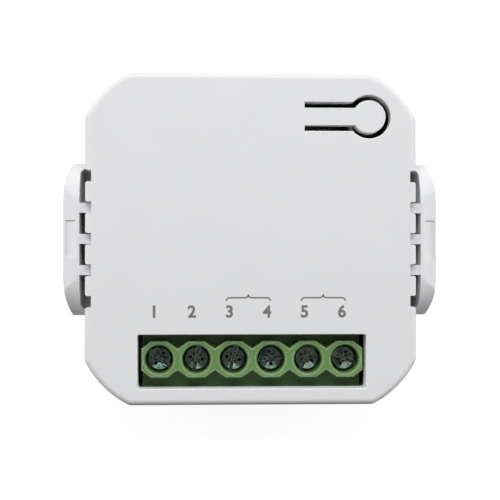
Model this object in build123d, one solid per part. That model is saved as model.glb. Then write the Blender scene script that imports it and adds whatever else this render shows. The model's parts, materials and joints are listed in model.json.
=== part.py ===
from build123d import *
import math
import os

os.makedirs("parts", exist_ok=True)

# An in-wall energy monitor module, in millimetres. It lies on its rear face: +Z points
# out of the front face, +Y towards the button and -Y towards the wire entries. The
# origin is the centre of the rear face.

# Casing
body_width = 45.0
body_length = 45.0
body_height = 18.6
corner_leg = 6.0
corner_radius = 13.5
corner_blend = 1.2
face_round = 0.8
rear_round = 1.0
face_wall = 2.0
skirt_wall = 0.9
lip_wall = 0.8
lip_gap = 0.1
lip_height = 1.6
floor_wall = 1.4
edge_break = 0.12
seam_break = 0.15
overrun = 1.0

# Snap fit between cover and casing
snap_inset = 8.8
snap_width = 4.0
snap_height = 0.9
snap_depth = 0.3
snap_gap = 0.06
snap_rise = 0.35

# Side lugs, moulded on the casing
lug_reach = 3.15
lug_length = 21.1
lug_straight = 9.8
lug_bend_radius = 15.8
lug_end_round = 6.2
lug_end_wall = 0.8
lug_drop = 1.75
lug_slope = 0.25
lug_edge = 0.3
lug_web = 0.8
lug_rim_wall = 0.4
lug_rim_gap = 0.9
lug_rim_round = 0.8
lug_clearance = 0.2
rib_width = 1.35
rib_pitch = 4.25
rib_count = 3
rib_drop = 0.15
pad_length = 5.1
pad_inset = 0.15
pad_depth = 0.16

# Notched side edges of the cover
notch_count = 5
notch_gap = 0.1
tooth_round = 0.4

# Rear label recess
label_width = 30.0
label_length = 24.0
label_depth = 0.25
label_round = 1.5

# Keyhole button, cut free in the cover's face
button_side_inset = 6.5
button_end_inset = 5.9
button_arm = 8.8
hinge_root = 0.4
button_radius = 2.25
button_gap = 0.7
arm_width = 2.4
arm_slot = 0.75
arm_wall = 1.2
hinge_gap = 0.05
press_angle = 2.0
post_radius = 1.0
contact_gap = 0.02
button_break = 0.1

# Screw terminals
terminal_count = 6
terminal_pitch = 5.08
terminal_inset = 6.08
terminal_shift = 0.15
terminal_trim = 0.14
terminal_sink = 1.35
octagon_depth = 4.95
octagon_flat = 2.2
waist_depth = 2.95
crown_break = 0.14
block_front_gap = 0.2
block_rear_wall = 0.55
block_floor = 0.6
shoulder_wall = 0.5
well_radius = 1.925
well_break = 0.2
seat_wall = 0.8
entry_radius = 1.5
entry_flare = 0.25
window_width = 30.95
window_length = 7.3
window_inset = 5.88
window_round = 0.3
window_rim_wall = 1.0
window_rim_depth = 1.0
slot_gap = 0.2

# Terminal screw and rising cage
screw_radius = 1.25
screw_head_radius = 1.7
screw_head_height = 1.35
screw_head_round = 0.25
screw_slot_width = 0.55
screw_slot_depth = 0.5
screw_cross_length = 2.3
screw_cross_depth = 0.85
screw_turns = (143.0, 78.0, 75.0, 8.0, 60.0, 155.0)
thread_gap = 0.05
slide_gap = 0.05
tip_gap = 0.1
cage_width = 3.7
cage_length = 3.4
cage_side_wall = 0.5
cage_sole = 0.7
cage_crown = 1.1
cage_travel = 2.0
cage_clearance = 0.15
contact_thickness = 0.5
contact_width = 2.3
leg_width = 1.0
leg_thickness = 0.6
leg_below_board = 1.5
leg_gap = 0.06

# Main board and what holds it
board_thickness = 1.6
board_clearance = 2.9
board_gap = 0.25
leg_hole_radius = 0.75
ledge_depth = 2.2
ledge_length = 5.0
ledge_inset = 12.5
post_gap = 0.05
hold_width = 1.7
hold_length = 3.2

# Dome switch under the button
switch_size = 4.5
switch_height = 1.2
switch_corner = 0.35
dome_radius = 1.6
dome_rise = 0.45
dome_wall = 0.12
dome_gap = 0.15
dome_sink = 0.3

# Radio module on the board
radio_width = 14.3
radio_length = 17.3
radio_thickness = 0.8
radio_standoff = 0.7
radio_pad_count = 8
radio_pad_width = 0.9
radio_pad_length = 1.3
shield_width = 12.0
shield_length = 10.6
shield_height = 2.2
shield_wall = 0.2
shield_margin = 1.0

# Power supply parts
capacitor_radius = 3.9
capacitor_height = 9.0
capacitor_round = 0.5
capacitor_groove = 0.3
capacitor_foot = 1.6
output_radius = 2.5
output_height = 7.0
film_width = 10.0
film_length = 4.4
film_height = 8.6
film_round = 0.4
varistor_radius = 3.5
varistor_thickness = 3.4
varistor_round = 0.9
varistor_lead_width = 0.8
varistor_lead_spacing = 5.0
varistor_standoff = 0.9
fuse_radius = 1.6
fuse_length = 6.6
fuse_lead_radius = 0.35
fuse_lead_reach = 1.0
fuse_post_radius = 0.45
fuse_round = 0.3
core_radius = 3.1
core_height = 6.4
core_flange = 0.8
core_neck_radius = 1.5
winding_radius = 2.75
winding_gap = 0.02

# Flat packages, each as width, length, height
bridge_size = (4.7, 3.9, 2.4)
converter_size = (4.9, 3.9, 1.5)
metering_size = (5.0, 3.9, 1.1)
regulator_size = (6.5, 3.5, 1.6)
diode_size = (4.3, 2.6, 2.1)
crystal_size = (3.2, 2.5, 0.9)
burden_size = (3.2, 1.6, 0.6)
resistor_size = (1.6, 0.8, 0.5)
ceramic_size = (2.0, 1.25, 0.8)
led_size = (1.6, 0.8, 0.6)
burden_count = 4
resistor_count = 6
ceramic_count = 5
package_break = 0.2
lead_width = 0.4
lead_reach = 0.6
lead_thickness = 0.25

# Room between parts on the board and the posts that hold it
part_gap = 0.4

# Heights and edges that follow from the sizes above
side_x = body_width / 2
end_y = body_length / 2
button_x = side_x - button_side_inset
button_y = end_y - button_end_inset
root_x = button_x - button_arm
terminal_y = terminal_inset - end_y
window_y = window_inset - end_y
ledge_y = end_y - ledge_inset
face_under = body_height - face_wall
lip_inset = skirt_wall + lip_gap
room_inset = lip_inset + lip_wall
board_low = floor_wall + board_clearance
board_top = board_low + board_thickness
board_half_x = side_x - room_inset - board_gap
board_half_y = end_y - room_inset - board_gap
hold_inner_x = board_half_x - hold_width
notch_width = rib_width + 2 * notch_gap
dome_foot = board_top + switch_height - dome_sink
press_travel = button_arm * math.sin(math.radians(press_angle))
post_tip = dome_foot + dome_rise + press_travel + contact_gap

terminal_top = body_height - terminal_sink
block_front = skirt_wall + block_front_gap - end_y
cage_low = board_top + block_floor + slide_gap
window_height = cage_travel + contact_thickness + 2 * slide_gap
cage_height = cage_sole + window_height + cage_crown
contact_low = cage_low + cage_sole + cage_travel + slide_gap
contact_high = contact_low + contact_thickness
seat_low = cage_low + cage_height + cage_travel + slide_gap
seat_high = seat_low + seat_wall
head_low = seat_high + slide_gap
head_high = head_low + screw_head_height
shoulder_high = seat_low + shoulder_wall
cavity_half_x = cage_width / 2 + cage_clearance
cavity_half_y = cage_length / 2 + cage_clearance
leg_front = terminal_y + cavity_half_y
leg_rear = leg_front + leg_thickness
block_rear = leg_rear + leg_gap + block_rear_wall
block_half_x = terminal_count * terminal_pitch / 2 - terminal_trim
entry_z = (cage_low + cage_sole + contact_low) / 2
parting_height = entry_z + entry_radius + slot_gap
lip_top = parting_height + lip_height

backing_top = face_under - 2 * lip_gap
lug_high = body_height - lug_drop
lug_web_top = parting_height - seam_break
lug_low = lug_web_top - lug_web
lug_x = side_x + lug_reach
lug_rim_x = side_x + lug_rim_gap + lug_rim_wall


def spread(low, high, sizes):
    """Centres of pieces of these sizes in a row, with even gaps between two limits."""
    gap = (high - low - sum(sizes)) / (len(sizes) + 1)
    centres = []
    edge = low
    for size in sizes:
        centres.append(edge + gap + size / 2)
        edge += gap + size
    return centres


# Columns of parts on the board's upper side, from the terminal block to the far edge
left_edge = part_gap - hold_inner_x
right_edge = hold_inner_x - part_gap
film_x = left_edge + film_width / 2
can_x = left_edge + capacitor_radius
middle_x = left_edge + film_width + part_gap + varistor_radius
radio_x = right_edge - radio_width / 2
fuse_x = right_edge - fuse_length / 2 - fuse_lead_reach - fuse_post_radius
can_size = 2 * capacitor_radius
film_y, can_1_y, can_2_y, output_y = spread(
    block_rear, board_half_y, (film_length, can_size, can_size, 2 * output_radius)
)
converter_length = converter_size[1] + 2 * lead_reach
varistor_y, bridge_y, inductor_y, converter_y, diode_y = spread(
    block_rear, board_half_y,
    (varistor_thickness, bridge_size[1] + 2 * lead_reach, 2 * core_radius, converter_length, diode_size[1]),
)
fuse_y, radio_y = spread(block_rear, button_y - switch_size / 2, (2 * fuse_radius, radio_length))
regulator_x, led_x = spread(
    middle_x + varistor_radius, button_x - switch_size / 2, (regulator_size[0], led_size[0])
)
regulator_y = (radio_y + radio_length / 2 + board_half_y) / 2

# Rows of small parts on the board's underside
burden_y, metering_y, resistor_y, ceramic_y = spread(
    block_rear, board_half_y,
    (burden_size[1], metering_size[1] + 2 * lead_reach, resistor_size[1], ceramic_size[1]),
)
under_half_x = board_half_x - ledge_depth
metering_x, crystal_x = spread(-under_half_x, under_half_x, (metering_size[0], crystal_size[0]))


def prism(face, low, high):
    """A flat outline raised from one height to another."""
    return Pos(0, 0, low) * extrude(face, amount=high - low, dir=(0, 0, 1))


def block(low, high):
    """A box between two opposite corners."""
    size = [top - bottom for bottom, top in zip(low, high)]
    return Pos(*low) * Box(*size, align=(Align.MIN, Align.MIN, Align.MIN))


def rod(radius, x, y, low, high):
    """An upright cylinder."""
    foot = (Align.CENTER, Align.CENTER, Align.MIN)
    return Pos(x, y, low) * Cylinder(radius, high - low, align=foot)


def mirrored(solid):
    """A solid with its mirror image on the other side of the casing."""
    return solid + mirror(solid, Plane.YZ)


def casing_outline(inset):
    """The casing's plan outline, set in from its outer face: flat sides, bulged corners."""
    radius = corner_radius - inset
    reach = math.sqrt(corner_radius**2 - corner_leg**2 / 2) / math.sqrt(2)
    half_x = side_x - inset
    half_y = end_y - inset
    centre_x = side_x - corner_leg / 2 - reach
    centre_y = end_y - corner_leg / 2 - reach
    flat_x = centre_x + math.sqrt(radius**2 - (half_y - centre_y) ** 2)
    flat_y = centre_y + math.sqrt(radius**2 - (half_x - centre_x) ** 2)
    middle_x = centre_x + radius / math.sqrt(2)
    middle_y = centre_y + radius / math.sqrt(2)
    edges = []
    for sign in (1, -1):
        edges.append(Line((sign * half_x, -flat_y), (sign * half_x, flat_y)))
        edges.append(Line((-flat_x, sign * half_y), (flat_x, sign * half_y)))
        for across in (1, -1):
            start = (across * half_x, sign * flat_y)
            middle = (across * middle_x, sign * middle_y)
            edges.append(ThreePointArc(start, middle, (across * flat_x, sign * half_y)))
    return make_face(edges)


def casing_prism(inset, low, high):
    return prism(casing_outline(inset), low, high)


def keyhole_outline(width, radius, start_x):
    """A straight neck that ends in a round head, the shape of the button and of its cut."""
    neck = Pos((start_x + button_x) / 2, button_y) * Rectangle(button_x - start_x, width)
    return neck + Pos(button_x, button_y) * Circle(radius)


def notch_cutter():
    """What is cut from the cover's side edge: a strip, less the rounded teeth."""
    tooth_width = rib_pitch - notch_width
    strip_half = rib_pitch * (notch_count - 1) / 2 + notch_width / 2 + tooth_round
    tooth_length = 2 * (skirt_wall + tooth_round)
    strip = Pos(side_x, 0) * Rectangle(2 * skirt_wall, 2 * strip_half)
    tooth_x = side_x - tooth_length / 2
    for index in range(notch_count - 1):
        tooth_y = (index - (notch_count - 2) / 2) * rib_pitch
        strip -= Pos(tooth_x, tooth_y) * RectangleRounded(tooth_length, tooth_width, tooth_round)
    last_y = strip_half - tooth_round + tooth_width / 2
    for sign in (1, -1):
        strip -= Pos(tooth_x, sign * last_y) * RectangleRounded(tooth_length, tooth_width, tooth_round)
    return prism(strip, parting_height - overrun, body_height + overrun)


def snap_bump(rise, spare):
    """Ridge on the casing's lip, or with spare room its seat inside the cover."""
    low_z = parting_height + rise - spare
    high_z = low_z + snap_height + 2 * spare
    lip_x = side_x - lip_inset
    crest_x = lip_x + snap_depth + spare
    outline = Polyline(
        (lip_x - lip_wall / 2, low_z), (lip_x, low_z), (crest_x, (low_z + high_z) / 2),
        (lip_x, high_z), (lip_x - lip_wall / 2, high_z), close=True,
    )
    half = snap_width / 2 + spare
    bar = extrude(Plane.XZ * make_face(outline), amount=half, both=True)
    snap_y = end_y - snap_inset
    return mirrored(Pos(0, snap_y, 0) * bar + Pos(0, -snap_y, 0) * bar)


def window_outline(width, length):
    return Pos(terminal_shift / 2, window_y) * RectangleRounded(width, length, window_round)


def hold_down_posts():
    """Four posts under the face that keep the board on its ledges."""
    posts = Part()
    for sign in (1, -1):
        posts += block(
            (hold_inner_x, sign * ledge_y - hold_length / 2, board_top + post_gap),
            (board_half_x, sign * ledge_y + hold_length / 2, face_under),
        )
    return mirrored(posts)


def button_cut():
    """The keyhole slot round the button, with a narrow seat for the root of its tongue."""
    cut = keyhole_outline(arm_width + 2 * arm_slot, button_radius + button_gap, root_x)
    seat_width = arm_width + 2 * hinge_gap
    return cut + Pos(root_x - hinge_root / 2, button_y) * Rectangle(hinge_root, seat_width)


def front_cover():
    cover = casing_prism(0, parting_height, body_height)
    cover = fillet(cover.edges().filter_by(Axis.Z), corner_blend)
    cover = fillet(cover.edges().group_by(Axis.Z)[-1], face_round)
    cover = chamfer(cover.edges().group_by(Axis.Z)[0], seam_break)
    cover -= casing_prism(skirt_wall, parting_height - overrun, face_under)
    rim_wall = 2 * window_rim_wall
    rim = window_outline(window_width + rim_wall, window_length + rim_wall)
    cover += prism(rim, face_under - window_rim_depth, face_under)
    window = window_outline(window_width, window_length)
    cover -= prism(window, face_under - window_rim_depth - overrun, body_height + overrun)
    cover -= prism(button_cut(), face_under - overrun, body_height + overrun)
    cover = fillet(opening_edges(cover), edge_break)
    cover -= mirrored(notch_cutter())
    cover += hold_down_posts()
    return cover - snap_bump(snap_rise, snap_gap)


def opening_edges(cover):
    """The face's edges round the terminal window and the button cut, but for the tongue's seat."""
    face = cover.faces().sort_by(Axis.Z)[-1]
    edges = [edge for wire in face.inner_wires() for edge in wire.edges()]
    seat_x = root_x - hinge_root / 4
    return [edge for edge in edges if edge.center().X > seat_x or edge.center().Y < 0]


def push_button():
    """The flexing tongue, its round head and the post that reaches down to the switch."""
    root = root_x - hinge_root + hinge_gap
    button = prism(keyhole_outline(arm_width, button_radius, root), body_height - arm_wall, body_height)
    button += rod(button_radius, button_x, button_y, face_under, body_height)
    top = button.edges().group_by(Axis.Z)[-1]
    button = fillet([edge for edge in top if edge.center().X > root + hinge_gap], button_break)
    button += rod(post_radius, button_x, button_y, post_tip + post_radius, face_under)
    return button + Pos(button_x, button_y, post_tip + post_radius) * Sphere(post_radius)


def lug_profile():
    """Section of a lug: its top slopes gently outwards from a flat rim, and its wall is upright."""
    back_x = side_x - lip_inset
    edge_x = lug_x - lug_edge
    edge_z = lug_high - lug_slope
    outline = Polyline(
        (back_x, lug_low), (edge_x, lug_low), (lug_x, lug_low + lug_edge), (lug_x, edge_z - lug_edge),
        (edge_x, edge_z), (lug_rim_x, lug_high), (back_x, lug_high), close=True,
    )
    return Plane.XZ * make_face(outline)


def lug_form():
    """The section drawn along a straight middle and two ends that bend towards the casing."""
    straight = lug_straight / 2
    form = extrude(lug_profile(), amount=straight, both=True)
    axis_x = lug_x - lug_bend_radius
    ring = revolve(lug_profile(), axis=Axis((axis_x, 0, 0), (0, 0, 1)))
    bend_length = lug_length / 2 - straight
    quarter = block((axis_x, 0, lug_low - overrun), (lug_x + overrun, bend_length, lug_high + overrun))
    bend = Pos(0, straight, 0) * (ring & quarter)
    return form + bend + mirror(bend, Plane.XZ)


def lug_side_view():
    """The lug's shape seen from the side: its ends round off down from the face."""
    depth = lug_high - lug_low
    corner = min(lug_end_round, depth - edge_break)
    outline = Pos(0, lug_low) * RectangleRounded(lug_straight + 2 * corner, 2 * depth, corner)
    bar = extrude(Plane.YZ * outline, amount=lug_x + overrun)
    return bar & block((side_x - lip_inset, -end_y, lug_low), (lug_x + overrun, end_y, lug_high + overrun))


def lug_pad():
    """The shallow rectangular panel sunk in a lug's top, outside its rim."""
    low = (lug_rim_x + pad_inset, -pad_length / 2, lug_low)
    high = (lug_x - lug_edge, pad_length / 2, lug_high + overrun)
    return block(low, high) - Pos(0, 0, -pad_depth) * lug_form()


def side_lug():
    """One lug with the web and the ribs that carry it, as it stands on the +X side."""
    outer = lug_form() & lug_side_view()
    bar_end = lug_rim_x - lug_rim_wall / 2
    gap = RectangleRounded(2 * lug_rim_gap, lug_length - 2 * lug_end_wall, lug_rim_round)
    lug = outer - prism(Pos(side_x, 0) * gap, lug_web_top, lug_high + overrun) - lug_pad()
    half = lug_length / 2 + overrun
    inner_x = side_x - lip_inset - overrun
    lug -= block((inner_x, -half, lug_web_top), (side_x + lug_clearance, half, lug_high + overrun))
    for index in range(rib_count):
        y = (index - (rib_count - 1) / 2) * rib_pitch
        near, far = y - rib_width / 2, y + rib_width / 2
        low = lug_web_top - seam_break
        bar = block((side_x - skirt_wall + notch_gap, near, low), (bar_end, far, lug_high - rib_drop))
        root_top = min(lug_high - rib_drop, backing_top)
        root = block((side_x - room_inset + lip_wall / 2, near, low), (side_x, far, root_top))
        lug += (bar & outer) + root
    return lug


def lug_backing():
    """The part of the casing's lip that rises behind the notches and carries the ribs."""
    half = rib_pitch * (notch_count - 1) / 2 + notch_width
    return block((side_x - room_inset, -half, parting_height), (side_x - lip_inset, half, backing_top))


def board_ledges():
    inner_x = side_x - room_inset - ledge_depth
    ledges = Part()
    for sign in (1, -1):
        ledges += block(
            (inner_x, sign * ledge_y - ledge_length / 2, floor_wall),
            (side_x - room_inset, sign * ledge_y + ledge_length / 2, board_low),
        )
    return mirrored(ledges)


def wire_slot():
    """The long slot that leaves the terminal block's wire entries open."""
    half = block_half_x + slot_gap
    low = entry_z - entry_radius - slot_gap
    return block(
        (terminal_shift - half, -end_y - overrun, low),
        (terminal_shift + half, block_rear, lip_top + overrun),
    )


def block_pocket():
    """Room in the casing's wall for the front of the terminal block."""
    half = block_half_x + slot_gap
    return block(
        (terminal_shift - half, block_front - block_front_gap, board_low),
        (terminal_shift + half, block_rear, lip_top + overrun),
    )


def rear_casing():
    tub = casing_prism(0, 0, parting_height)
    tub = fillet(tub.edges().filter_by(Axis.Z), corner_blend)
    tub = fillet(tub.edges().group_by(Axis.Z)[0], rear_round)
    tub = chamfer(tub.edges().group_by(Axis.Z)[-1], seam_break)
    label = prism(RectangleRounded(label_width, label_length, label_round), -overrun, label_depth)
    tub -= label
    tub += casing_prism(lip_inset, parting_height, lip_top)
    tub -= casing_prism(room_inset, floor_wall, lip_top + overrun)
    tub += mirrored(lug_backing() + side_lug())
    tub += board_ledges() + snap_bump(snap_rise, 0)
    return tub - wire_slot() - block_pocket()


def terminal_x(index):
    return terminal_shift + (index - (terminal_count - 1) / 2) * terminal_pitch


def octagon_chain():
    """Plan outline of the block's crown: one octagon round each screw."""
    points = []
    for index in range(terminal_count):
        x = terminal_x(index)
        edge = terminal_pitch / 2
        left = edge - terminal_trim if index == 0 else edge
        right = edge - terminal_trim if index == terminal_count - 1 else edge
        points += [(x - left, waist_depth / 2), (x - octagon_flat / 2, octagon_depth / 2)]
        points += [(x + octagon_flat / 2, octagon_depth / 2)]
        if index == terminal_count - 1:
            points += [(x + right, waist_depth / 2)]
    upper = [(x, terminal_y + y) for x, y in points]
    lower = [(x, terminal_y - y) for x, y in reversed(points)]
    return make_face(Polyline(*upper, *lower, close=True))


def pole_cutter(x):
    """Everything that is open in one pole: well, screw hole, cage room, entry and leg slot."""
    cut = rod(well_radius, x, terminal_y, seat_high, terminal_top + overrun)
    cut += rod(screw_radius + thread_gap, x, terminal_y, seat_low - overrun / 2, seat_high + overrun / 2)
    low = cage_low - slide_gap
    cut += block(
        (x - cavity_half_x, terminal_y - cavity_half_y, low),
        (x + cavity_half_x, terminal_y + cavity_half_y, seat_low),
    )
    reach = terminal_y - block_front
    entry = Pos(x, block_front, entry_z) * Rot(-90, 0, 0)
    foot = (Align.CENTER, Align.CENTER, Align.MIN)
    cut += entry * Cylinder(entry_radius, reach, align=foot)
    cut += entry * Cone(entry_radius + entry_flare, entry_radius, entry_flare, align=foot)
    half = leg_width / 2 + leg_gap
    return cut + block(
        (x - half, terminal_y, board_top - overrun),
        (x + half, leg_rear + leg_gap, contact_high + leg_gap),
    )


def terminal_housing():
    left = terminal_shift - block_half_x
    right = terminal_shift + block_half_x
    housing = block((left, block_front, board_top), (right, block_rear, shoulder_high))
    crown = prism(octagon_chain(), shoulder_high, terminal_top)
    housing += chamfer(crown.edges().group_by(Axis.Z)[-1], crown_break)
    for index in range(terminal_count):
        housing -= pole_cutter(terminal_x(index))
        mouth = Pos(terminal_x(index), terminal_y, terminal_top - well_break)
        foot = (Align.CENTER, Align.CENTER, Align.MIN)
        housing -= mouth * Cone(well_radius, well_radius + well_break, well_break, align=foot)
    return housing


def terminal_screw(index):
    """A captive screw with a round head, a full slot and a cross."""
    x = terminal_x(index)
    head = rod(screw_head_radius, x, terminal_y, head_low, head_high)
    head = fillet(head.edges().group_by(Axis.Z)[-1], screw_head_round)
    drive = Box(2 * screw_head_radius + overrun, screw_slot_width, 2 * screw_slot_depth)
    for turn in (0, 90):
        drive += Rot(0, 0, turn) * Box(screw_cross_length, screw_slot_width, 2 * screw_cross_depth)
    head -= Pos(x, terminal_y, head_high) * Rot(0, 0, screw_turns[index]) * drive
    return head + rod(screw_radius, x, terminal_y, contact_high + tip_gap, head_low)


def clamp_cage(index):
    """The square ring that the screw lifts against the contact."""
    x = terminal_x(index)
    half_y = cage_length / 2
    cage = block(
        (x - cage_width / 2, terminal_y - half_y, cage_low),
        (x + cage_width / 2, terminal_y + half_y, cage_low + cage_height),
    )
    inner = cage_width / 2 - cage_side_wall
    cage -= block(
        (x - inner, terminal_y - half_y - overrun, cage_low + cage_sole),
        (x + inner, terminal_y + half_y + overrun, cage_low + cage_sole + window_height),
    )
    top = cage_low + cage_height
    return cage - rod(screw_radius + thread_gap, x, terminal_y, top - cage_crown - slide_gap, top + overrun)


def contact_pins():
    """Six contacts: a plate through each cage and a leg down through the board."""
    pins = []
    for index in range(terminal_count):
        x = terminal_x(index)
        plate = block(
            (x - contact_width / 2, terminal_y - cage_length / 2, contact_low),
            (x + contact_width / 2, leg_front, contact_high),
        )
        leg = block(
            (x - leg_width / 2, leg_front, board_low - leg_below_board),
            (x + leg_width / 2, leg_rear, contact_high),
        )
        pins.append(plate + leg)
    return Compound([pin.solid() for pin in pins])


def main_board():
    board = casing_prism(room_inset + board_gap, board_low, board_top)
    for index in range(terminal_count):
        y = (leg_front + leg_rear) / 2
        board -= rod(leg_hole_radius, terminal_x(index), y, board_low - overrun, board_top + overrun)
    return board


def package(size, x, y, base=board_top):
    """A moulded chip body with its top edges broken."""
    width, length, height = size
    body = block((x - width / 2, y - length / 2, base), (x + width / 2, y + length / 2, base + height))
    return chamfer(body.edges().group_by(Axis.Z)[-1], min(package_break, height / 3))


def under_package(size, x, y):
    """The same body, soldered to the board's underside."""
    return mirror(package(size, x, y, -board_low), Plane.XY)


def under_row(size, count, y):
    """A row of like chips on the underside, as separate solids."""
    places = spread(-under_half_x, under_half_x, [size[0]] * count)
    return Compound([under_package(size, x, y).solid() for x in places])


def chip_leads():
    """Flat feet of the leaded packages, along their two long sides."""
    upper = board_top
    under = board_low - lead_thickness
    feet = []
    for size, x, y, low, count in (
        (converter_size, middle_x, converter_y, upper, 4),
        (bridge_size, middle_x, bridge_y, upper, 2),
        (metering_size, metering_x, metering_y, under, 6),
    ):
        width, length, _ = size
        for index in range(count):
            foot_x = x + (index - (count - 1) / 2) * width / count
            for sign in (1, -1):
                inner = y + sign * length / 2
                outer = inner + sign * lead_reach
                feet.append(block(
                    (foot_x - lead_width / 2, min(inner, outer), low),
                    (foot_x + lead_width / 2, max(inner, outer), low + lead_thickness),
                ))
    return Compound([foot.solid() for foot in feet])


def can_capacitor(radius, height, x, y):
    """An upright electrolytic can with a rolled groove near its foot."""
    can = rod(radius, x, y, board_top, board_top + height)
    can = fillet(can.edges().group_by(Axis.Z)[-1], capacitor_round)
    return can - Pos(x, y, board_top + capacitor_foot) * Torus(radius, capacitor_groove)


def film_capacitor():
    body = package((film_width, film_length, film_height), film_x, film_y)
    return fillet(body.edges().filter_by(Axis.Z), film_round)


def varistor():
    """A round dipped disc that stands on its two leads."""
    x, y = middle_x, varistor_y
    centre = board_top + varistor_standoff + varistor_radius
    disc = Cylinder(varistor_radius, varistor_thickness)
    disc = Pos(x, y, centre) * Rot(90, 0, 0) * fillet(disc.edges(), varistor_round)
    half = varistor_lead_width / 2
    for sign in (1, -1):
        lead_x = x + sign * varistor_lead_spacing / 2
        disc += block((lead_x - half, y - half, board_top), (lead_x + half, y + half, centre))
    return disc


def fuse_resistor():
    """An axial body that lies on the board between two soldered posts."""
    x, y = fuse_x, fuse_y
    axis = Pos(x, y, board_top + fuse_radius) * Rot(0, 90, 0)
    body = axis * fillet(Cylinder(fuse_radius, fuse_length).edges(), fuse_round)
    half = fuse_length / 2 + fuse_lead_reach
    body += axis * Cylinder(fuse_lead_radius, 2 * half)
    for sign in (1, -1):
        body += rod(fuse_post_radius, x + sign * half, y, board_top, board_top + fuse_radius + fuse_post_radius)
    return body


def inductor_core():
    """A drum core: two flanges and a neck."""
    x, y = middle_x, inductor_y
    top = board_top + core_height
    core = rod(core_radius, x, y, board_top, board_top + core_flange)
    core += rod(core_radius, x, y, top - core_flange, top)
    return core + rod(core_neck_radius, x, y, board_top, top)


def inductor_winding():
    """The wound wire as one ring between the flanges."""
    x, y = middle_x, inductor_y
    low = board_top + core_flange + winding_gap
    high = board_top + core_height - core_flange - winding_gap
    ring = rod(winding_radius, x, y, low, high)
    return ring - rod(core_neck_radius + winding_gap, x, y, low - overrun, high + overrun)


def radio_board():
    x, y = radio_x, radio_y
    low = board_top + radio_standoff
    return block(
        (x - radio_width / 2, y - radio_length / 2, low),
        (x + radio_width / 2, y + radio_length / 2, low + radio_thickness),
    )


def radio_pads():
    """Solder joints that hold the radio board off the main board, along its two long edges."""
    x, y = radio_x, radio_y
    pads = []
    for index in range(radio_pad_count):
        pad_y = y + (index - (radio_pad_count - 1) / 2) * radio_length / radio_pad_count
        for sign in (1, -1):
            edge = x + sign * (radio_width / 2 - radio_pad_length / 2)
            pads.append(block(
                (edge - radio_pad_length / 2, pad_y - radio_pad_width / 2, board_top),
                (edge + radio_pad_length / 2, pad_y + radio_pad_width / 2, board_top + radio_standoff),
            ))
    return Compound([pad.solid() for pad in pads])


def shield_can():
    """A thin metal lid over the radio chip."""
    x, y = radio_x, radio_y
    y -= (radio_length - shield_length) / 2 - shield_margin
    low = board_top + radio_standoff + radio_thickness
    can = package((shield_width, shield_length, shield_height), x, y, low)
    inner = (shield_width / 2 - shield_wall, shield_length / 2 - shield_wall)
    return can - block(
        (x - inner[0], y - inner[1], low - overrun),
        (x + inner[0], y + inner[1], low + shield_height - shield_wall),
    )


def switch_body():
    """The dome switch's square base with a round seat for the dome."""
    half = switch_size / 2
    top = board_top + switch_height
    body = block((button_x - half, button_y - half, board_top), (button_x + half, button_y + half, top))
    body = chamfer(body.edges().filter_by(Axis.Z), switch_corner)
    return body - rod(dome_radius + dome_gap, button_x, button_y, dome_foot, top + overrun)


def switch_dome():
    """The snap dome that the button's post pushes, as a thin cap that stands on its rim."""
    radius = (dome_radius**2 + dome_rise**2) / (2 * dome_rise)
    shell = Sphere(radius) - Sphere(radius - dome_wall)
    shell = Pos(button_x, button_y, dome_foot + dome_rise - radius) * shell
    return shell & rod(radius, button_x, button_y, dome_foot, dome_foot + dome_rise + overrun)


def save(solid, node):
    export_step(solid, f"parts/{node}.step")


save(front_cover(), "front_cover")
save(push_button(), "push_button")
save(rear_casing(), "rear_casing")
save(terminal_housing(), "terminal_housing")
for pole in range(terminal_count):
    save(terminal_screw(pole), f"terminal_screw_{pole + 1}")
    save(clamp_cage(pole), f"clamp_cage_{pole + 1}")
save(contact_pins(), "contact_pins")
save(main_board(), "main_board")
save(switch_body(), "switch_body")
save(switch_dome(), "switch_dome")
save(radio_board(), "radio_board")
save(radio_pads(), "radio_solder_pads")
save(shield_can(), "radio_shield_can")
save(package(converter_size, middle_x, converter_y), "converter_chip")
save(package(bridge_size, middle_x, bridge_y), "bridge_rectifier")
save(package(regulator_size, regulator_x, regulator_y), "voltage_regulator")
save(package(diode_size, middle_x, diode_y), "freewheel_diode")
save(package(led_size, led_x, regulator_y), "status_led")
save(under_package(metering_size, metering_x, metering_y), "metering_chip")
save(under_package(crystal_size, crystal_x, metering_y), "crystal")
save(under_row(burden_size, burden_count, burden_y), "burden_resistors")
save(under_row(resistor_size, resistor_count, resistor_y), "chip_resistors")
save(under_row(ceramic_size, ceramic_count, ceramic_y), "ceramic_capacitors")
save(chip_leads(), "chip_leads")
save(can_capacitor(capacitor_radius, capacitor_height, can_x, can_1_y), "input_capacitor_1")
save(can_capacitor(capacitor_radius, capacitor_height, can_x, can_2_y), "input_capacitor_2")
save(can_capacitor(output_radius, output_height, can_x, output_y), "output_capacitor")
save(film_capacitor(), "film_capacitor")
save(varistor(), "varistor")
save(fuse_resistor(), "fuse_resistor")
save(inductor_core(), "inductor_core")
save(inductor_winding(), "inductor_winding")
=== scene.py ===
"""Looks for an in-wall energy monitor module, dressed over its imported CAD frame."""

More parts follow.
